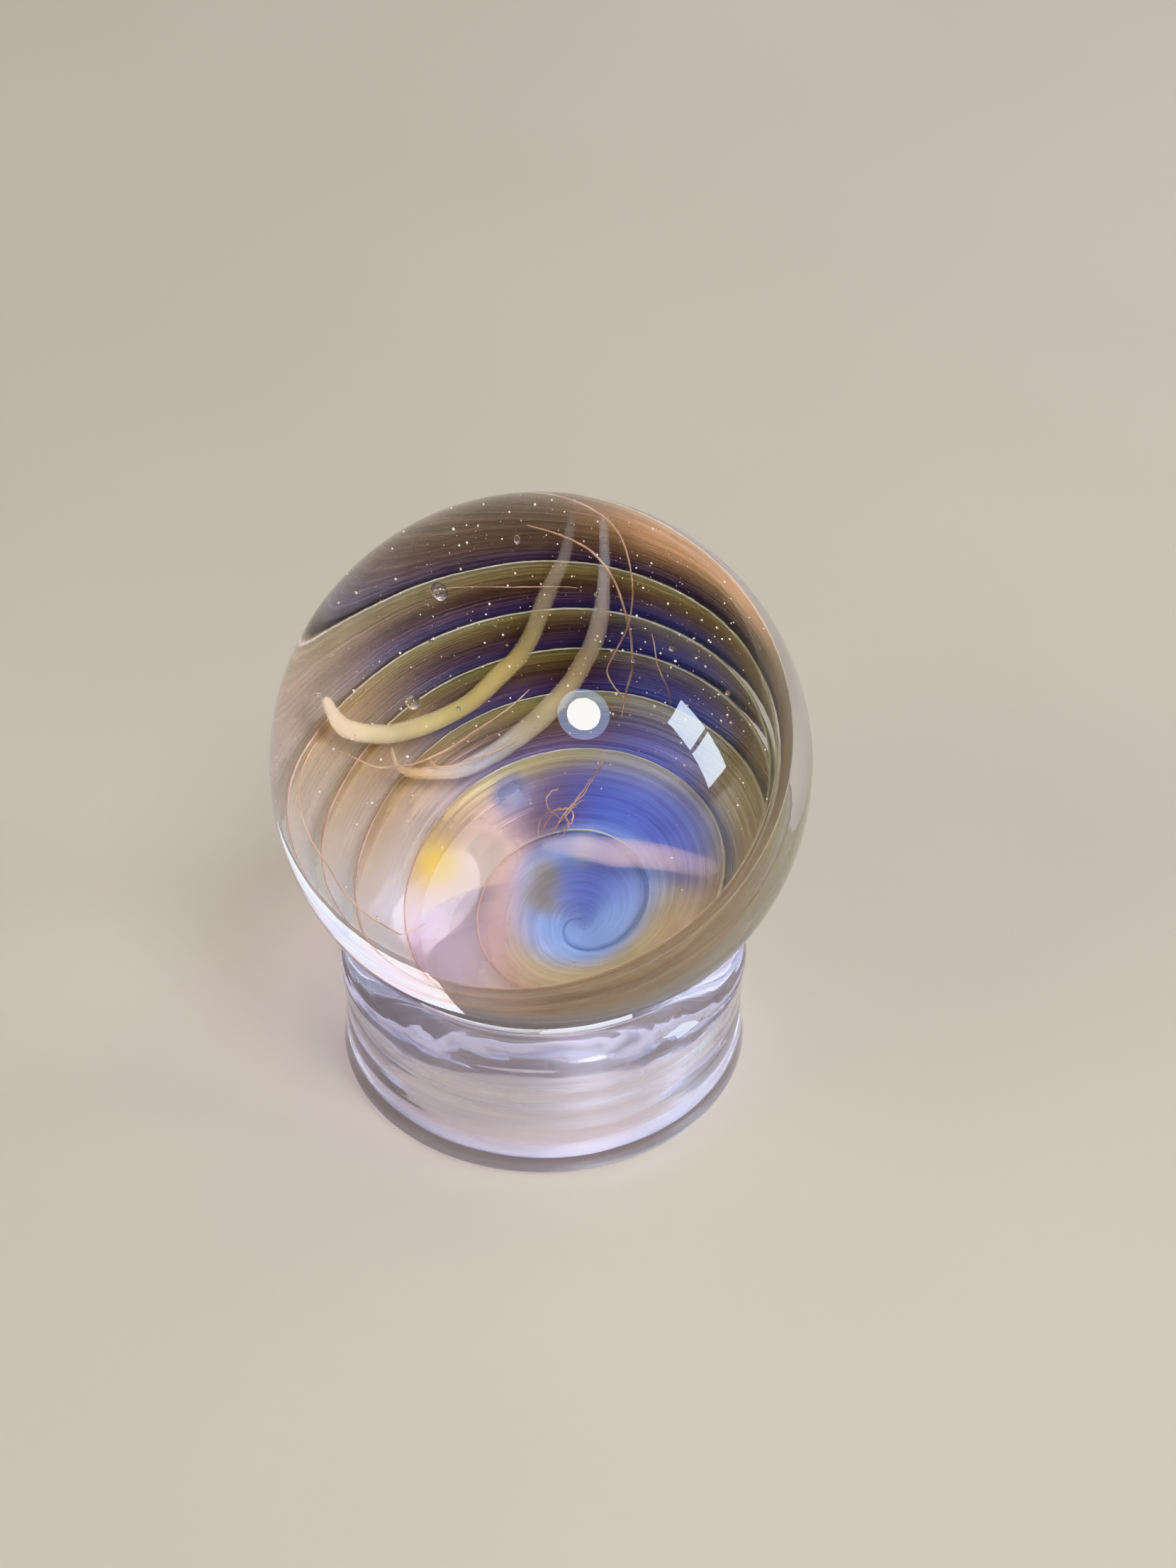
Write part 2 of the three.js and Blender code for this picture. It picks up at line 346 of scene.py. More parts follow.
def fume(angle, turn, phase):
    """The band's colour and density at an angle in degrees, a turn and a place across the band,
    where 0 is its bright outer edge. Each zone has a weight, and the zones blend."""
    far_band = across_band(phase, [
        (0.0, (0.42, 0.38, 0.24), 0.85),
        (0.03, (0.38, 0.34, 0.17), 0.86),
        (0.12, OLIVE, 0.90),
        (0.24, (0.22, 0.16, 0.085), 0.94),
        (0.36, BROWN, 0.96),
        (0.48, (0.13, 0.09, 0.08), 0.96),
        (0.62, PURPLE, 0.95),
        (0.72, (0.13, 0.105, 0.20), 0.94),
        (1.0, (0.14, 0.12, 0.16), 0.95),
    ])
    blue_band = across_band(phase, [
        (0.0, (0.45, 0.47, 0.48), 0.75),
        (0.10, (0.38, 0.41, 0.44), 0.80),
        (0.30, (0.22, 0.24, 0.38), 0.90),
        (0.52, (0.16, 0.19, 0.50), 0.94),
        (0.74, (0.15, 0.20, 0.58), 0.93),
        (1.0, (0.15, 0.17, 0.40), 0.95),
    ])
    outer_band = across_band(phase, [
        (0.0, (0.32, 0.27, 0.22), 0.85),
        (0.08, (0.21, 0.16, 0.11), 0.93),
        (0.60, BROWN, 0.95),
        (1.0, (0.14, 0.10, 0.11), 0.93),
    ])
    olive_band = across_band(phase, [
        (0.0, (0.42, 0.40, 0.24), 0.62),
        (0.15, (0.36, 0.33, 0.17), 0.68),
        (0.60, (0.32, 0.27, 0.15), 0.70),
        (1.0, (0.29, 0.25, 0.20), 0.64),
    ])
    tan_band = across_band(phase, [
        (0.0, (0.60, 0.45, 0.30), 0.16),
        (0.45, TAN, 0.20),
        (1.0, (0.50, 0.42, 0.30), 0.22),
    ])
    pale_band = across_band(phase, [
        (0.0, (0.85, 0.66, 0.48), 0.05),
        (0.25, PINK, 0.03),
        (0.65, LILAC, 0.03),
        (1.0, (0.66, 0.72, 0.90), 0.05),
    ])

    def flat(colour, density):
        return np.broadcast_to((*colour, density), (*np.shape(turn), 4))

    outside = above(turn, 1.9, 0.35)
    inside = 1 - outside
    zones = [
        (outside * near_angle(angle, 129, 44) * above(6.1, turn, 0.3), far_band),
        (outside * near_angle(angle, 123, 66) * above(turn, 6.1, 0.3), outer_band),
        (outside * near_angle(angle, 89, 18) * above(5.1, turn, 0.3), blue_band),
        (outside * near_angle(angle, 74, 26) * above(turn, 5.1, 0.3) * above(6.2, turn, 0.3),
         far_band),
        (outside * near_angle(angle, 44, 34), olive_band),
        (outside * near_angle(angle, 325, 62), tan_band),
        (outside * near_angle(angle, 218, 54), pale_band),
        # A painted warm glow: orange fume near the rim at the upper right, which stands in for warm
        # light reflected there.
        (3.5 * near_angle(angle, 84, 18) * near_turn(turn, 6.9, 0.36), flat(PAINTED_WARM_GLOW, 0.9)),
        (1.2 * near_angle(angle, 42, 22) * near_turn(turn, 7.0, 0.8),
         flat((0.17, 0.125, 0.13), 0.75)),
        (inside * near_angle(angle, 85, 46) * near_turn(turn, 1.55, 0.45), flat(COBALT, 0.92)),
        (inside * near_angle(angle, 138, 20) * near_turn(turn, 1.55, 0.35), flat(PURPLE, 0.85)),
        (inside * near_angle(angle, 205, 50) * near_turn(turn, 1.5, 0.5), flat(PINK, 0.04)),
        (inside * near_angle(angle, 310, 66) * near_turn(turn, 1.6, 0.5), flat(TAN, 0.40)),
        (near_angle(angle, 310, 75) * near_turn(turn, 1.0, 0.22),
         flat((0.50, 0.40, 0.20), 0.70)),
        (0.8 * near_angle(angle, 300, 100) * near_turn(turn, 0.5, 0.3), flat(SKY, 0.80)),
        (0.5 * near_turn(turn, 0.2, 0.5), flat((0.22, 0.32, 0.62), 0.80)),
        (1.3 * near_angle(angle, 120, 65) * near_turn(turn, 0.60, 0.2),
         flat((0.15, 0.19, 0.50), 0.90)),
        (0.6 * near_angle(angle, 110, 70) * near_turn(turn, 0.95, 0.16), flat(SKY, 0.70)),
        (0.8 * near_angle(angle, 214, 26) * near_turn(turn, 5.0, 2.0),
         flat((0.66, 0.74, 0.90), 0.20)),
        (2.0 * near_angle(angle, 184, 22) * near_turn(turn, 4.1, 1.7),
         flat((0.66, 0.46, 0.17), 0.40)),
        (3.0 * near_spot(angle, turn, 190, 1.95, 0.22), flat((1.0, 0.78, 0.05), 0.28)),
        (3.0 * near_spot(angle, turn, 225, 1.9, 0.40), flat((0.95, 0.55, 0.75), 0.06)),
        # A thinner spot, so that the lamp's reflection off the ball's back can be seen.
        (20.0 * near_spot(angle, turn, 148, 1.80, 0.12), flat((0.30, 0.31, 0.50), 0.30)),
        (3.5 * near_spot(angle, turn, 158, 0.74, 0.15), flat((0.22, 0.19, 0.10), 0.95)),
        (3.5 * near_spot(angle, turn, 180, 0.62, 0.15), flat((0.22, 0.19, 0.10), 0.95)),
        (3.5 * near_spot(angle, turn, 112, 0.42, 0.22), flat((0.09, 0.12, 0.36), 0.92)),
        (1.5 * near_spot(angle, turn, 160, 0.35, 0.18), flat((0.14, 0.16, 0.36), 0.92)),
        (2.0 * near_spot(angle, turn, 118, 0.88, 0.14), flat((0.55, 0.62, 0.75), 0.70)),
    ]
    total = sum(weight for weight, band in zones) + 1e-6
    return sum(weight[..., None] * band for weight, band in zones) / total[..., None]


def add_colours(target, name, values):
    """A colour for each point of a mesh, for its material to read."""
    attribute = target.data.color_attributes.new(name, "FLOAT_COLOR", "POINT")
    attribute.data.foreach_set("color", np.asarray(values, np.float32).ravel())


def fumed_glass():
    """The vortex's band: the colours and density of fume(), broken into fine streaks."""
    material, add = node_material("fumed_glass")
    base = add("Attribute", attribute_name="fume")
    uv = add("UVMap", uv_map="turns").outputs["UV"]
    stretched = add("VectorMath", {0: uv, 1: (3.0, 14.0, 1.0)}, operation="MULTIPLY").outputs[0]
    streaks = noise_at(add, stretched, 1.6, 5.0, 0.62)
    where = add("TexCoord").outputs["Object"]
    clouds = noise_at(add, where, 420.0, 3.0)
    outwards = add("SeparateXYZ", {0: uv}).outputs[0]
    streakiness = add("MapRange", {0: outwards, 1: 0.8, 2: 3.0, 3: 0.04, 4: 1.3}).outputs[0]
    from_middle = maths(add, "SUBTRACT", streaks, 0.5)
    light = maths(add, "ADD", 0.65, maths(add, "MULTIPLY", from_middle, streakiness))
    light = maths(add, "ADD", light, maths(add, "MULTIPLY", clouds, 0.7))
    grey = add("CombineXYZ", {0: light, 1: light, 2: light}).outputs[0]
    shade = mix_colours(add, 1.0, base.outputs["Color"], grey, "MULTIPLY")
    density = maths(add, "MULTIPLY", base.outputs["Alpha"],
                    maths(add, "ADD", 0.72, maths(add, "MULTIPLY", streaks, 0.56)), clamp=True)
    grooves = maths(add, "MULTIPLY", streaks, streakiness)
    bump = add("Bump", {"Height": grooves, "Strength": 0.4, "Distance": 0.0002})
    film = add("BsdfPrincipled", {
        "Base Color": shade,
        "Roughness": 0.28,
        "IOR": 1.25,
        "Metallic": 0.15,
        "Normal": bump.outputs["Normal"],
    })
    hold = maths(add, "ADD", 0.12, maths(add, "MULTIPLY", density, 0.7))
    tint = mix_colours(add, hold, (1, 1, 1, 1), base.outputs["Color"])
    clear = add("BsdfTransparent", {"Color": tint})
    surface = add("MixShader", {0: density, 1: clear.outputs[0], 2: film.outputs[0]}).outputs[0]
    add("OutputMaterial", {"Surface": surface})
    return material


def milky_glass(name):
    """Milky coloured glass inside clear glass, with its colour and density in its points."""
    material, add = node_material(name)
    base = add("Attribute", attribute_name="fume")
    where = add("TexCoord").outputs["Object"]
    slow = noise_at(add, where, 420.0, 3.0)
    light = maths(add, "ADD", 0.75, maths(add, "MULTIPLY", slow, 0.5))
    grey = add("CombineXYZ", {0: light, 1: light, 2: light}).outputs[0]
    shade = mix_colours(add, 1.0, base.outputs["Color"], grey, "MULTIPLY")
    amount = maths(add, "MULTIPLY", base.outputs["Alpha"], light, clamp=True)
    body = add("BsdfPrincipled", {"Base Color": shade, "Roughness": 0.4, "IOR": 1.2})
    clear = add("BsdfTransparent")
    surface = add("MixShader", {0: amount, 1: clear.outputs[0], 2: body.outputs[0]}).outputs[0]
    add("OutputMaterial", {"Surface": surface})
    return material


def tinted_glass(name, colour, deep_colour, density, scale):
    """Coloured glass in a hair-fine thread, whose colour and density wander along it."""
    material, add = node_material(name)
    where = add("TexCoord").outputs["Object"]
    slow = noise_at(add, where, scale, 3.0)
    shade = ramp(add, slow, [(0.32, deep_colour), (0.68, colour)])
    amount = maths(add, "MULTIPLY", maths(add, "ADD", 0.6, maths(add, "MULTIPLY", slow, 0.8)),
                   density, clamp=True)
    body = add("BsdfPrincipled", {"Base Color": shade, "Roughness": 0.3, "IOR": 1.2})
    clear = add("BsdfTransparent")
    surface = add("MixShader", {0: amount, 1: clear.outputs[0], 2: body.outputs[0]}).outputs[0]
    add("OutputMaterial", {"Surface": surface})
    return material


# ---- The clear ball ----

BALL_SEGMENTS = 256
BALL_UNEVENNESS = 0.018
BALL_CLEARANCE = 0.02
BUBBLE_SEGMENTS = 20
BUBBLE_RINGS = 12


def clear_ball():
    """One smooth ball, very slightly out of round, with its larger bubbles as hollows."""
    unit, faces = sphere_points(BALL_SEGMENTS, BALL_SEGMENTS // 2)
    swell = np.array([noise.noise(Vector(p) * 1.7) for p in unit])
    radius = BALL_RADIUS - BALL_CLEARANCE + BALL_UNEVENNESS * swell
    points = [Vector(p) * r * MM + BALL_CENTRE for p, r in zip(unit, radius)]
    bubble_unit, bubble_faces = sphere_points(BUBBLE_SEGMENTS, BUBBLE_RINGS)
    for angle, turn, inset, size in BUBBLES:
        centre = place(wall(turn, math.radians(angle), inset))
        start = len(points)
        points += [Vector(centre + p * size * MM) for p in bubble_unit]
        faces = faces + [[start + i for i in reversed(face)] for face in bubble_faces]
    return make_object("clear_ball", points, faces)


# Each bubble's angle in degrees, turn, distance in front of the bowl and radius. The first four
# are the photo's largest; the places of the others are made up.
BUBBLES = [
    (137, 6.1, 0.95, 0.30),
    (159, 4.7, 1.3, 0.26),
    (120, 6.6, 0.9, 0.14),
    (85, 5.0, 0.9, 0.13),
    (62, 5.3, 1.1, 0.11),
    (94, 4.6, 1.5, 0.10),
    (104, 5.9, 1.6, 0.08),
    (145, 5.6, 1.7, 0.07),
    (150, 3.9, 1.2, 0.08),
    (113, 4.4, 2.0, 0.07),
    (128, 5.2, 2.4, 0.06),
    (170, 5.9, 0.9, 0.07),
    (235, 4.6, 1.0, 0.07),
    (300, 2.2, 1.4, 0.08),
]


# ---- The vortex sheet ----

SHEET_BAND = 1.34
SHEET_LIFT = 0.14
SHEET_DROP = -0.20
SHEET_THICKNESS = 0.07
SHEET_FIRST_TURN = 0.04
SHEET_LAST_TURN = 7.75
SHEET_TAIL = 0.7
SHEET_LEAST_TAIL = 0.02
SHEET_MARGIN = 0.45
SHEET_FLAT_TURN = 1.8
SHEET_STEPS_PER_TURN = 84
SHEET_COLUMNS = 26


def vortex_sheet():
    """The fumed band, wound from the bowl's bottom to its rim. Its outer edge stands up over the
    inner edge of the next turn, as a shingle does. Towards the bowl's bottom it thins and its
    outer edge clears; towards its tail it narrows and clears."""
    steps = int((SHEET_LAST_TURN - SHEET_FIRST_TURN) * SHEET_STEPS_PER_TURN)
    turns = np.linspace(SHEET_FIRST_TURN, SHEET_LAST_TURN, steps + 1)
    phases = np.linspace(0, 1, SHEET_COLUMNS) ** 1.2
    turn, phase = np.meshgrid(turns, phases, indexing="ij")
    angle = FIRST_ANGLE + 2 * math.pi * (turn - 1)
    width = np.minimum(SHEET_BAND, turn * 0.98)
    tail = np.clip((SHEET_LAST_TURN - turn) / SHEET_TAIL, SHEET_LEAST_TAIL, 1)
    width = width * tail**0.5
    on_turn = turn - phase * width
    lift = SHEET_LIFT + (SHEET_DROP - SHEET_LIFT) * phase**0.7
    flattened = np.minimum(1, on_turn / SHEET_FLAT_TURN) ** 2
    lift *= flattened
    thickness = SHEET_THICKNESS * (0.15 + 0.85 * flattened)
    front = wall(on_turn, angle, lift + thickness / 2)
    back = wall(on_turn, angle, lift - thickness / 2)
    rows, columns = turn.shape
    points = np.concatenate([front, back[:, ::-1]], axis=1).reshape(-1, 3)
    radius = np.linalg.norm(points, axis=1)
    limit = BALL_RADIUS - SHEET_MARGIN
    points *= np.minimum(1, limit / np.maximum(radius, 1e-6))[:, None]
    faces = grid_faces(rows, 2 * columns, close_columns=True)
    last = (rows - 1) * 2 * columns
    faces.append(list(range(2 * columns)))
    faces.append([last + i for i in reversed(range(2 * columns))])
    colours = fume(np.degrees(angle), on_turn, phase)
    colours[..., 3] *= 1 - (1 - flattened) * np.exp(-((phase / 0.10) ** 2))
    colours[..., 3] *= np.clip((tail - SHEET_LEAST_TAIL) / 0.33, 0, 1)
    colours = np.concatenate([colours, colours[:, ::-1]], axis=1).reshape(-1, 4)
    uv = np.stack([turn, phase], axis=-1)
    uv = np.concatenate([uv, uv[:, ::-1]], axis=1).reshape(-1, 2)
    sheet = make_object("vortex_sheet", place(points), faces, uv=uv)
    add_colours(sheet, "fume", colours)
    return sheet


def tube(name, centres, radii, sides, flatten=None, normals=None):
    """A round or flattened tube along centres, which are in millimetres on the vortex's axes."""
    centres = np.asarray(centres, float)
    along = np.gradient(centres, axis=0)
    along /= np.linalg.norm(along, axis=1, keepdims=True)
    if normals is None:
        normals = np.empty_like(centres)
        normal = np.cross(along[0], (0.3, 0.5, 0.8))
        for i, direction in enumerate(along):
            normal = normal - direction * (normal @ direction)
            normal /= np.linalg.norm(normal)
            normals[i] = normal
    else:
        normals = normals - along * np.sum(normals * along, axis=1, keepdims=True)
        normals /= np.linalg.norm(normals, axis=1, keepdims=True)
    side = np.cross(along, normals)
    turns = np.linspace(0, 2 * math.pi, sides, endpoint=False)
    radii = np.broadcast_to(radii, len(centres))[:, None, None]
    thick = radii if flatten is None else np.broadcast_to(flatten, len(centres))[:, None, None]
    ring = (
        centres[:, None]
        + side[:, None] * np.cos(turns)[None, :, None] * radii
        + normals[:, None] * np.sin(turns)[None, :, None] * thick
    )
    points = ring.reshape(-1, 3)
    faces = grid_faces(len(centres), sides, close_columns=True)
    faces = [face[::-1] for face in faces]
    last = (len(centres) - 1) * sides
    faces.append(list(range(sides)))
    faces.append([last + i for i in reversed(range(sides))])
    return make_object(name, place(points), faces)


EDGE_FIRST_TURN = 0.9
EDGE_LAST_TURN = SHEET_LAST_TURN - 0.1
EDGE_LIFT = SHEET_LIFT + 0.04
EDGE_MARGIN = 0.4
EDGE_RADIUS = 0.026
EDGE_UNEVENNESS = 0.010
EDGE_STEPS = 900
EDGE_SIDES = 8


def vortex_edge():
    """The thin bright bead of glass along the band's outer edge."""
    turns = np.linspace(EDGE_FIRST_TURN, EDGE_LAST_TURN, EDGE_STEPS)
    angle = FIRST_ANGLE + 2 * math.pi * (turns - 1)
    centres = wall(turns, angle, EDGE_LIFT)
    radius = np.linalg.norm(centres, axis=1)
    centres *= np.minimum(1, (BALL_RADIUS - EDGE_MARGIN) / radius)[:, None]
    wobble = np.array([noise.noise(Vector((t * 3, 0.5, 2))) for t in turns])
    bead = tube("vortex_edge", centres, EDGE_RADIUS + EDGE_UNEVENNESS * wobble, EDGE_SIDES)
    degrees = np.degrees(angle)
    copper = near_angle(degrees, 205, 55) + near_angle(degrees, 250, 40)
    copper = np.clip(copper, 0, 1)[:, None]
    bright = np.array([0.55, 0.55, 0.36, 0.70])
    rust = np.array([0.30, 0.10, 0.06, 0.75])
    colours = bright * (1 - copper) + rust * copper
    colours[:, 3] *= 1 - 0.9 * near_angle(degrees, 345, 112)
    colours[:, 3] *= 1 - 0.6 * near_angle(degrees, 52, 26)
    add_colours(bead, "fume", np.repeat(colours, EDGE_SIDES, axis=0))
    return bead


def edge_glass():
    """The bead's glass, with its colour and density in its points."""
    material, add = node_material("edge_glass")
    base = add("Attribute", attribute_name="fume")
    where = add("TexCoord").outputs["Object"]
    slow = noise_at(add, where, 500.0, 3.0)
    shade = mix_colours(add, maths(add, "MULTIPLY", slow, 0.5), base.outputs["Color"],
                        (0.95, 0.9, 0.85, 1))
    body = add("BsdfPrincipled", {"Base Color": shade, "Roughness": 0.2, "IOR": 1.3})
    clear = add("BsdfTransparent")
    amount = maths(add, "MULTIPLY", base.outputs["Alpha"], maths(add, "ADD", 0.55, slow), clamp=True)
    surface = add("MixShader", {0: amount, 1: clear.outputs[0], 2: body.outputs[0]}).outputs[0]
    add("OutputMaterial", {"Surface": surface})
    return material


# ---- Ribbons and threads, laid along the bowl ----

def strand(points, inset_start, inset, inset_end, steps, wobble=0.0, seed=0):
    """Points and directions along a strand, and the share of it that each is at. Its route is a
    list of (angle in degrees, turn); it starts and ends at its own distances from the bowl and
    runs at inset in between."""
    at = np.linspace(0, len(points) - 1, steps)
    route = catmull_rom(points, at)
    share = at / at[-1]
    ends = np.clip(np.minimum(share, 1 - share) / 0.45, 0, 1)
    ends = ends * ends * (3 - 2 * ends)
    end_inset = np.where(share < 0.5, inset_start, inset_end)
    insets = end_inset + (inset - end_inset) * ends
    if wobble:
        insets = insets + wobble * np.array(
            [noise.noise(Vector((s * 9, seed, 0.3))) for s in share])
    angle = np.radians(route[:, 0])
    centres = wall(route[:, 1], angle, insets)
    normals = wall(route[:, 1], angle, insets + 0.5) - centres
    return centres, normals, share


def taper(share, start, end, least):
    """A strand's relative thickness along it, thinner at both ends."""
    grow = np.clip(share / start, 0, 1)
    fade = np.clip((1 - share) / end, 0, 1)
    return least + (1 - least) * np.sqrt(np.minimum(grow, fade))


RIBBON_INSET = 0.78
RIBBON_STEPS = 260
RIBBON_SIDES = 24

# Each route is a list of (angle in degrees, turn).
LONG_RIBBON = [
    (110, 7.0), (112, 6.3), (117, 5.6), (123, 4.8), (131, 4.2), (145, 3.75),
    (158, 3.85), (168, 4.3), (174, 5.1), (170, 5.75),
]
SHORT_RIBBON = [
    (105, 7.0), (104, 6.2), (105, 5.3), (109, 4.4), (117, 3.5), (127, 2.85), (138, 2.55),
    (150, 2.45), (161, 2.6), (170, 3.1), (174, 3.7), (171, 4.1),
]
ROSE_RIBBON = [
    (150, 0.95), (128, 0.82), (103, 0.76), (75, 0.82), (50, 1.08), (32, 1.5), (20, 2.05),
]

# Each ribbon's colours and densities from its first point to its last.
LONG_COLOURS = [
    (0.55, 0.52, 0.55, 0.00), (0.60, 0.52, 0.34, 0.30), (0.60, 0.48, 0.20, 0.62),
    (0.60, 0.49, 0.20, 0.78), (0.66, 0.54, 0.32, 0.72), (0.80, 0.62, 0.45, 0.60),
]
SHORT_COLOURS = [
    (0.66, 0.66, 0.74, 0.08), (0.64, 0.58, 0.52, 0.45), (0.60, 0.49, 0.27, 0.60),
    (0.58, 0.50, 0.32, 0.50), (0.60, 0.60, 0.64, 0.35), (0.66, 0.46, 0.26, 0.50),
    (0.70, 0.52, 0.32, 0.50),
]
ROSE_COLOURS = [
    (0.72, 0.52, 0.52, 0.06), (0.76, 0.52, 0.52, 0.18), (0.80, 0.56, 0.54, 0.26),
    (0.78, 0.56, 0.50, 0.22), (0.70, 0.54, 0.48, 0.04),
]

# Each thread's route, its distance in front of the bowl and its radius.
THREADS = {
    "arch": ([(138, 7.1), (125, 7.25), (112, 7.25), (101, 6.95), (95.5, 6.1), (96.5, 5.2),
              (103, 4.1), (98, 3.5)], 1.5, 0.036),
    "drop": ([(118, 6.75), (106, 6.45), (99, 5.85), (95.5, 5), (96, 4.2), (100, 3.4),
              (102, 2.7)], 1.3, 0.042),
    "faint": ([(139, 6.15), (130, 6.05), (120, 5.9), (110, 5.75)], 1.3, 0.015),
    "side": ([(92, 5.05), (88, 4.7), (84.5, 4.1), (86, 3.25)], 1.3, 0.022),
    "hook": ([(180, 5), (180, 4.7), (179, 4.2), (172, 3.7), (160, 3.3), (147, 3.2), (137, 3.25),
              (129, 3.5)], 1.3, 0.036),
    "inner_hook": ([(165, 3.3), (166, 3), (158, 2.7), (146, 2.5), (135, 2.5)], 1.3, 0.03),
    "rim": ([(180, 5.45), (193, 5.55), (206, 5.45), (217, 5.15), (229, 5.1), (236, 4.7),
             (234, 3.5), (225, 2.3)], 1.0, 0.030),
}
THREAD_STEPS = 200
THREAD_SIDES = 8

TUFT_HAIRS = [
    [(106, 1.95), (108, 1.6), (114, 1.32), (126, 1.12), (140, 1.02)],
    [(107, 1.80), (111, 1.5), (120, 1.22), (132, 1.05), (142, 0.95)],
    [(128, 1.50), (134, 1.42), (136, 1.25), (130, 1.12)],
    [(114, 1.30), (124, 1.18), (133, 1.20), (146, 1.05)],
    [(120, 1.30), (126, 1.12), (124, 0.98), (132, 0.90)],
    [(118, 1.22), (131, 1.20), (144, 1.15), (150, 1.02)],
    [(124, 1.24), (120, 1.08), (126, 0.96), (138, 0.93)],
]
HAIR_RADIUS = 0.025
HAIR_STEPS = 70
HAIR_SIDES = 6


def ribbon(name, points, half_width, half_thickness, colours, narrow):
    """A flat ribbon, milky along its middle and clear at its edges. Its width tapers at both
    ends, and shrinks to the share called narrow by its last point. Its colours and densities
    run along it."""
    centres, normals, share = strand(
        points, RIBBON_INSET, RIBBON_INSET, RIBBON_INSET, RIBBON_STEPS)
    width = half_width * taper(share, 0.45, 0.10, 0.3) * (1 + (narrow - 1) * share**3)
    width = width * (1 + 0.10 * np.array([noise.noise(Vector((s * 7, 4, 1))) for s in share]))
    thickness = half_thickness * taper(share, 0.1, 0.1, 0.4)
    band = tube(name, centres, width, RIBBON_SIDES, thickness, normals)
    places = np.linspace(0, 1, len(colours))
    along = np.stack([np.interp(share, places, [c[i] for c in colours]) for i in range(4)], axis=-1)
    middle = np.abs(np.sin(np.linspace(0, 2 * math.pi, RIBBON_SIDES, endpoint=False)))
    along = np.repeat(along[:, None], RIBBON_SIDES, axis=1)
    along[..., 3] *= middle[None, :] ** 1.3
    add_colours(band, "fume", along.reshape(-1, 4))
    return band


def thread(name, points, inset, radius, seed):
    """A hair-fine thread. It starts and ends close to the bowl, but for the arch, whose end stays
    out in the clear glass."""
    end = RIBBON_INSET if name != "thread_arch" else inset
    centres, normals, share = strand(points, RIBBON_INSET, inset, end, THREAD_STEPS, 0.03, seed)
    width = radius * taper(share, 0.3, 0.3, 0.35)
    return tube(name, centres, width, THREAD_SIDES)


def tuft():
    """A knot of hair-fine threads, joined into one piece."""
    hairs = []
    for i, points in enumerate(TUFT_HAIRS):
        centres, normals, share = strand(points, 1.0, 1.3, 1.0, HAIR_STEPS, 0.16, i)
        width = HAIR_RADIUS * taper(share, 0.3, 0.4, 0.3)
        hairs.append(tube(f"hair_{i}", centres, width, HAIR_SIDES))
    return join("thread_tuft", hairs)


def join(name, objects):
    """One object that holds the meshes of several."""
    points, faces = [], []
    for part in objects:
        start = len(points)
        points += [vertex.co.copy() for vertex in part.data.vertices]
        faces += [[start + i for i in polygon.vertices] for polygon in part.data.polygons]
        bpy.data.objects.remove(part)
    return make_object(name, points, faces)


# ---- Seeds: specks of air and grit in the clear glass ----

SEED_COUNT = 600


def seeds():
    """Specks scattered in front of the bowl, most of them over its far wall."""
    chance = np.random.default_rng(7)
    unit, unit_faces = sphere_points(6, 4)
    points, faces = [], []
    for _ in range(SEED_COUNT):
        angle = chance.normal(115, 42)
        turn = 7.3 - abs(chance.normal(0, 2.2))
        inset = 0.8 + abs(chance.normal(0, 0.9))
        size = 0.014 + 0.038 * chance.random() ** 4
        centre = wall(max(turn, 1.2), math.radians(angle), inset)
        stretch = 1 + 0.8 * chance.random()
        if np.linalg.norm(centre) > BALL_RADIUS - 0.5:
            continue
        start = len(points)
        points += [centre + p * size * (1, 1, stretch) for p in unit]
        faces += [[start + i for i in face] for face in unit_faces]
    return make_object("seeds", place(points), faces)


def seed_material():
    """The specks' pale and tan colours."""
    material, add = node_material("seed_glass")
    where = add("TexCoord").outputs["Object"]
    speck = noise_at(add, where, 900.0, 1.0)
    colour = ramp(add, speck, [(0.35, (0.62, 0.50, 0.36)), (0.65, (0.95, 0.92, 0.85))])
    body = add("BsdfPrincipled", {"Base Color": colour, "Roughness": 0.25})
    add("OutputMaterial", {"Surface": body.outputs[0]})
    return material


# ---- The ring ----

RING_WALL = 4.1
RING_WAIST = 0.245
FOOT_ROUNDING = 0.9
RING_SEGMENTS = 288
WAVE_DEPTH = 0.05
RIPPLE_DEPTH = 0.012
LIP_WAVE_DEPTH = 0.03
FLAT_FOOT_HEIGHT = 1.5


def arc(centre, radius, start, end, steps):
    angles = np.radians(np.linspace(start, end, steps))
    return [(centre[0] + radius * math.cos(a), centre[1] + radius * math.sin(a)) for a in angles]


def ring_profile():
    """The ring's section, as points of radius and height, from inside the foot outwards."""
    inner = RING_RADIUS - RING_WALL
    lip = RING_WALL / 2
    lip_height = RING_HEIGHT - lip
    profile = [(r, 0) for r in np.linspace(inner + FOOT_ROUNDING, RING_RADIUS - FOOT_ROUNDING, 8)]
    profile += arc((RING_RADIUS - FOOT_ROUNDING, FOOT_ROUNDING), FOOT_ROUNDING, -90, 0, 14)[1:]
    for t in np.linspace(0, 1, 20)[1:-1]:
        height = FOOT_ROUNDING + t * (lip_height - FOOT_ROUNDING)
        profile.append((RING_RADIUS - 4 * RING_WAIST * t * (1 - t), height))
    profile += arc((RING_RADIUS - lip, lip_height), lip, 0, 180, 44)
    for t in np.linspace(0, 1, 16)[1:-1]:
        profile.append((inner, lip_height + t * (FOOT_ROUNDING - lip_height)))
    profile += arc((inner + FOOT_ROUNDING, FOOT_ROUNDING), FOOT_ROUNDING, 180, 270, 14)[:-1]
    return profile


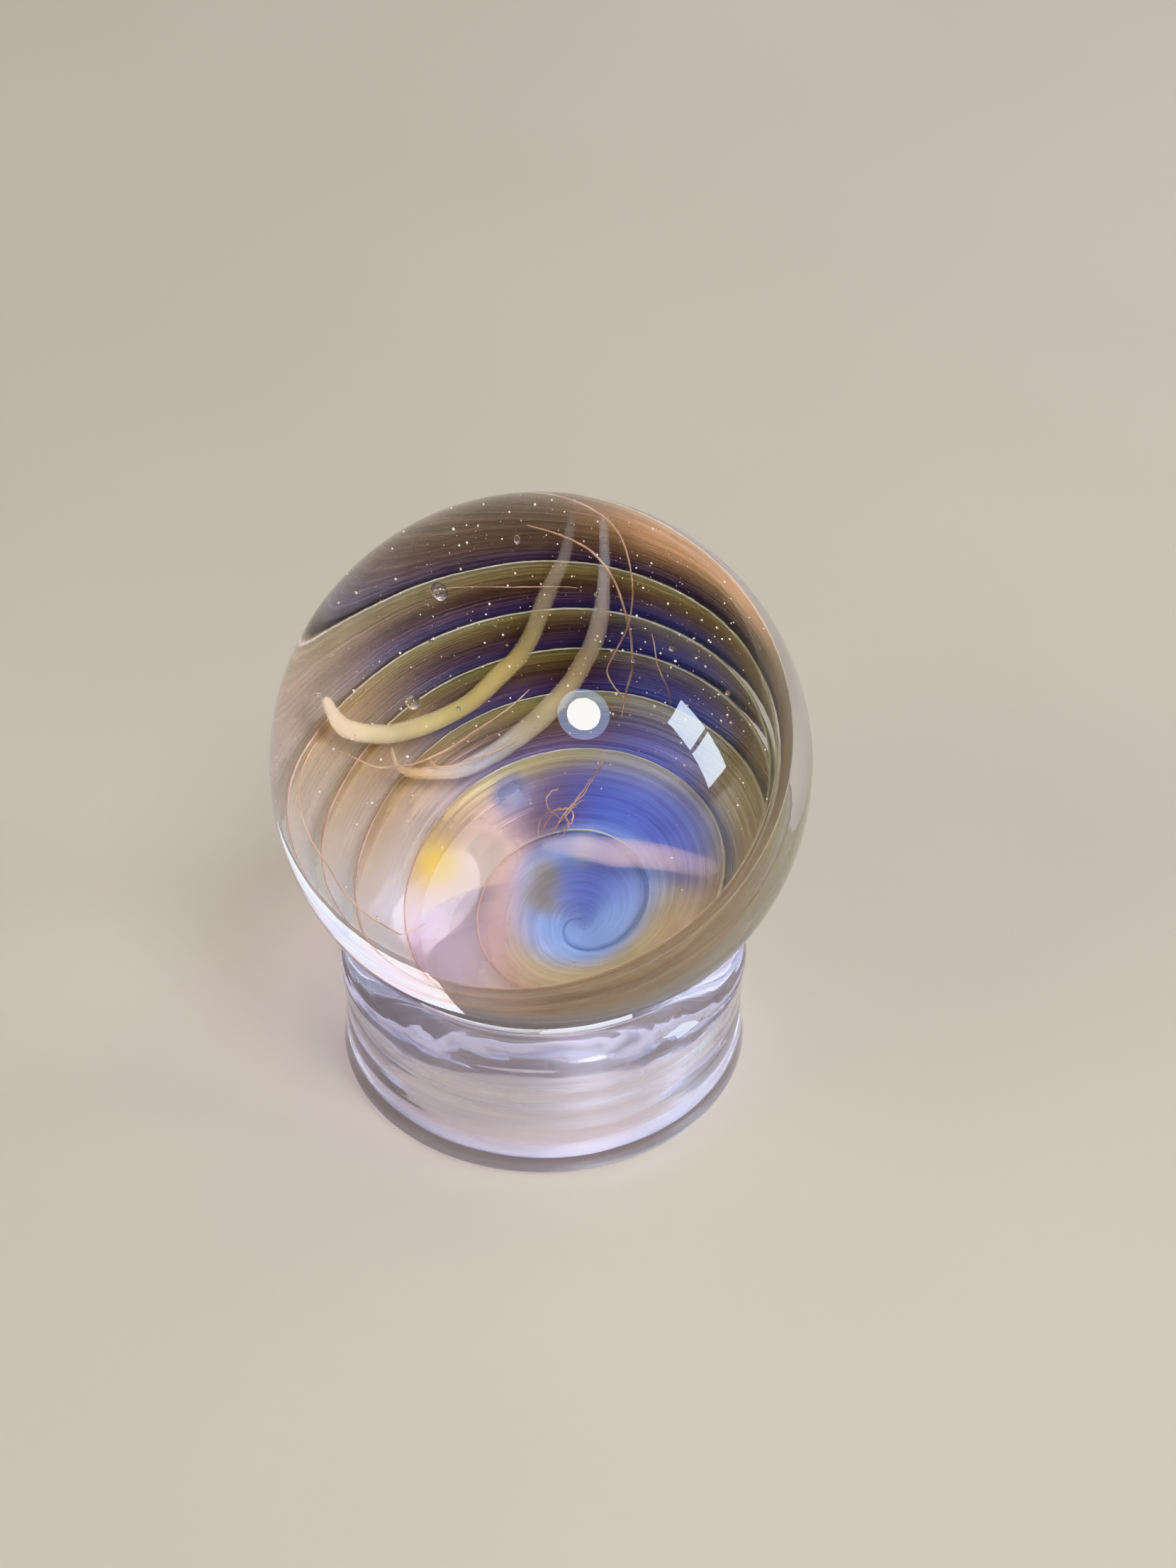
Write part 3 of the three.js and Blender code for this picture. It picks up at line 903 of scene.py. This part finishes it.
def glass_ring():
    """The stand: heavy tube, cut and softened in a flame, so that its walls and its lip wave a
    little. Its foot is flat."""
    profile = ring_profile()
    points = []
    for i in range(RING_SEGMENTS):
        angle = 2 * math.pi * i / RING_SEGMENTS
        turned = Vector((math.cos(angle), math.sin(angle), 0))
        for radius, height in profile:
            wave = noise.noise(turned * 1.6 + Vector((0, 0, height * 0.35)))
            ripple = noise.noise(turned * 5 + Vector((3, 0, height * 1.8)))
            share = min(1, height / FLAT_FOOT_HEIGHT)
            offset = (WAVE_DEPTH * (wave - 1) + RIPPLE_DEPTH * ripple) * share
            rise = LIP_WAVE_DEPTH * (wave - 1) * share
            out = turned * (radius + offset)
            points.append((out + Vector((0, 0, height + rise))) * MM)
    faces = grid_faces(RING_SEGMENTS, len(profile), close_columns=True, close_rows=True)
    faces = [face[::-1] for face in faces]
    return make_object("glass_ring", points, faces)


# ---- Build, paint and hang each piece on its body ----

def finish_piece(piece, body, material, slot, *nodes):
    piece.data.materials.append(material)
    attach(piece, body)
    if nodes:
        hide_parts(*nodes)


BALL_SHADOW = (0.84, 0.83, 0.85)
RING_SHADOW = (0.79, 0.77, 0.83)
finish_piece(
    clear_ball(), "ball",
    clear_glass("ball_glass", (0.985, 0.985, 0.985), 60.0, 0.00006, BALL_SHADOW),
    "clear_glass", "clear_crown", "clear_backing")
finish_piece(
    glass_ring(), "stand",
    clear_glass("ring_glass", (0.84, 0.81, 0.87), 110.0, 0.00022, RING_SHADOW, 0.5),
    "ring_glass", "ring_stand")
finish_piece(vortex_sheet(), "ball", fumed_glass(), "fumed_glass", "vortex_coil")
finish_piece(vortex_edge(), "ball", edge_glass(), "fumed_glass")

amber = milky_glass("amber_glass")
rose = milky_glass("rose_glass")
copper = tinted_glass("copper_glass", (0.72, 0.50, 0.36), (0.42, 0.24, 0.15), 0.6, 700.0)
finish_piece(ribbon("ribbon_long", LONG_RIBBON, 0.38, 0.06, LONG_COLOURS, 0.9), "ball", amber,
             "amber_glass", "amber_ribbon_long")
finish_piece(ribbon("ribbon_short", SHORT_RIBBON, 0.42, 0.06, SHORT_COLOURS, 0.14), "ball",
             amber, "amber_glass", "amber_ribbon_short")
finish_piece(ribbon("ribbon_rose", ROSE_RIBBON, 0.62, 0.07, ROSE_COLOURS, 0.6), "ball", rose,
             "rose_glass", "rose_ribbon")
for seed, (name, (points, inset, radius)) in enumerate(THREADS.items()):
    finish_piece(thread(f"thread_{name}", points, inset, radius, seed), "ball", copper,
                 "copper_glass", f"copper_thread_{name}")
finish_piece(tuft(), "ball", copper, "copper_glass", "copper_tuft")
finish_piece(seeds(), "ball", seed_material(), "clear_glass")


# ---- Floor, light and camera ----

FLOOR_RADIUS = 0.8
FLOOR_SIDES = 96


def floor():
    """A plain pale table. It ends where the lamps' light does."""
    angles = np.linspace(0, 2 * math.pi, FLOOR_SIDES, endpoint=False)
    rim = [(FLOOR_RADIUS * math.cos(a), FLOOR_RADIUS * math.sin(a), 0) for a in angles]
    table = make_object("floor", rim, [list(range(FLOOR_SIDES))], smooth=False)
    material, add = node_material("floor_paint")
    where = add("TexCoord").outputs["Object"]
    slow = noise_at(add, where, 9.0, 3.0)
    colour = ramp(add, slow, [(0.3, (0.47, 0.41, 0.335)), (0.7, (0.51, 0.45, 0.37))])
    body = add("BsdfPrincipled", {"Base Color": colour, "Roughness": 0.55})
    add("OutputMaterial", {"Surface": body.outputs[0]})
    table.data.materials.append(material)


def lamp(name, direction, distance, width, height, power, colour):
    """A soft light that faces the ball. It is round where it has no height."""
    data = bpy.data.lights.new(name, "AREA")
    data.shape = "RECTANGLE" if height else "DISK"
    data.size = width
    if height:
        data.size_y = height
    data.energy = power
    data.color = colour
    made = bpy.data.objects.new(name, data)
    towards = Vector(direction).normalized()
    made.location = BALL_CENTRE + towards * distance
    made.rotation_euler = towards.to_track_quat("Z", "Y").to_euler()
    bpy.context.scene.collection.objects.link(made)
    return made


LAMP_SIDE = (0.30, -0.474, 0.8275)
WORLD_STRENGTH = 0.45


def lights():
    """The photo's lamp with its bluish rim, its window with two panes, and three soft fill
    lights that reflections don't show."""
    lamp("round_lamp", LAMP_SIDE, 0.62, 0.14, 0, 2.4, (1.0, 0.95, 0.88))
    lamp("lamp_rim", LAMP_SIDE, 0.66, 0.24, 0, 1.1, (0.40, 0.62, 1.0))
    lamp("window_upper_pane", (0.929, -0.192, 0.473), 0.75, 0.15, 0.18, 1.6, (0.72, 0.85, 1.0))
    lamp("window_lower_pane", (0.929, -0.192, 0.18), 0.75, 0.15, 0.19, 1.6, (0.72, 0.85, 1.0))
    behind = lamp("back_window", (0.70, 0.70, 0.21), 0.9, 0.95, 0.34, 6.0, (0.86, 0.93, 1.0))
    above_back = lamp("back_sky", (0.05, 0.77, 0.64), 1.1, 0.9, 0.45, 3.2, (0.84, 0.90, 1.0))
    warm = lamp("warm_fill", (-0.70, -0.38, 0.60), 0.7, 0.30, 0.30, 0.9, (1.0, 0.80, 0.60))
    for unseen in (behind, above_back, warm):
        unseen.visible_glossy = False


def light_paths():
    """Enough bounces for light to cross the ball, the pieces in it and the ring's walls."""
    cycles = bpy.context.scene.cycles
    cycles.max_bounces = 16
    cycles.transmission_bounces = 14
    cycles.transparent_max_bounces = 24
    cycles.sample_clamp_indirect = 40


def studio():
    """A pale room, warmer and lighter towards the horizon, and a neutral view transform."""
    world = bpy.data.worlds.new("studio")
    world.use_nodes = True
    bpy.context.scene.world = world
    tree = world.node_tree
    tree.nodes.clear()
    where = tree.nodes.new("ShaderNodeTexCoord")
    split = tree.nodes.new("ShaderNodeSeparateXYZ")
    tree.links.new(where.outputs["Generated"], split.inputs[0])
    height = tree.nodes.new("ShaderNodeValToRGB")
    tree.links.new(split.outputs["Z"], height.inputs["Fac"])
    band = height.color_ramp
    band.elements[0].position = 0.02
    band.elements[0].color = (0.86, 0.79, 0.69, 1)
    band.elements[1].position = 0.8
    band.elements[1].color = (0.55, 0.54, 0.55, 1)
    band.elements.new(0.3).color = (0.44, 0.42, 0.40, 1)
    glow = tree.nodes.new("ShaderNodeBackground")
    tree.links.new(height.outputs["Color"], glow.inputs["Color"])
    glow.inputs["Strength"].default_value = WORLD_STRENGTH
    out = tree.nodes.new("ShaderNodeOutputWorld")
    tree.links.new(glow.outputs[0], out.inputs["Surface"])
    bpy.context.scene.view_settings.view_transform = "Khronos PBR Neutral"


CAMERA_TILT = math.radians(50)
CAMERA_PLACE = Vector((0.172, -9.82, 9.52)) * BALL_RADIUS * MM
CAMERA_LENS = 79.5


def camera():
    """The photo's camera, found from the outlines of the ball and the ring."""
    data = bpy.data.cameras.new("camera")
    data.lens = CAMERA_LENS
    data.sensor_width = 36
    data.clip_start = 0.01
    made = bpy.data.objects.new("camera", data)
    made.location = CAMERA_PLACE
    made.rotation_euler = (CAMERA_TILT, 0, 0)
    bpy.context.scene.collection.objects.link(made)
    bpy.context.scene.camera = made


floor()
lights()
light_paths()
studio()
camera()
